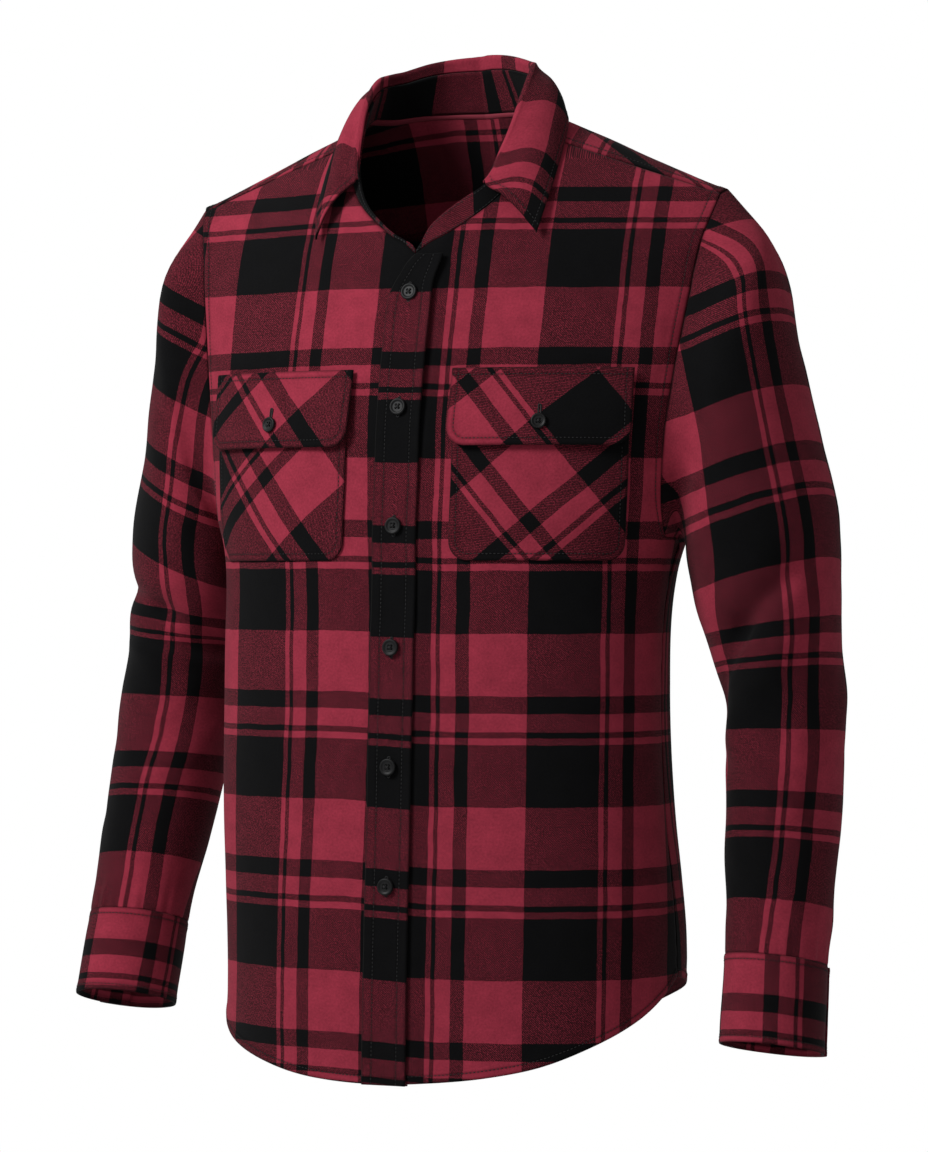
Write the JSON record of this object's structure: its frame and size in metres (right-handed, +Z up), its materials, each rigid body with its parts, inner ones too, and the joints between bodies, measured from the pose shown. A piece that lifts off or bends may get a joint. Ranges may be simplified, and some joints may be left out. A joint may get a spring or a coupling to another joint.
{
  "type": "flannel shirt",
  "caption": "Long-sleeved checked flannel shirt, filled out as if worn, with a spread collar, buttoned front, flap pockets and a curved hem.",
  "frame": {"origin": "middle of the base of the neck, level with the high points of the shoulder seams, where the wearer's shoulders hold the shirt up", "axes": "+Z up, the front faces -Y, +X towards the wearer's left"},
  "size_m": [0.6428, 0.2479, 0.8241],
  "materials": {
    "flannel": "matte",
    "button": "gloss"
  },
  "bodies": {
    "root": {"front_left": "flannel", "front_right": "flannel", "placket": "flannel", "back": "flannel", "yoke": "flannel", "sleeve_left": "flannel", "sleeve_right": "flannel", "cuff_left": "flannel", "cuff_right": "flannel", "collar_stand": "flannel", "collar_leaf": "flannel", "pocket_left": "flannel", "pocket_right": "flannel", "flap_left": "flannel", "flap_right": "flannel", "button_1": "button", "button_2": "button", "button_3": "button", "button_4": "button", "button_5": "button", "button_6": "button", "flap_button_left": "button", "flap_button_right": "button", "cuff_button_left": "button", "cuff_button_right": "button"}
  },
  "joints": []
}
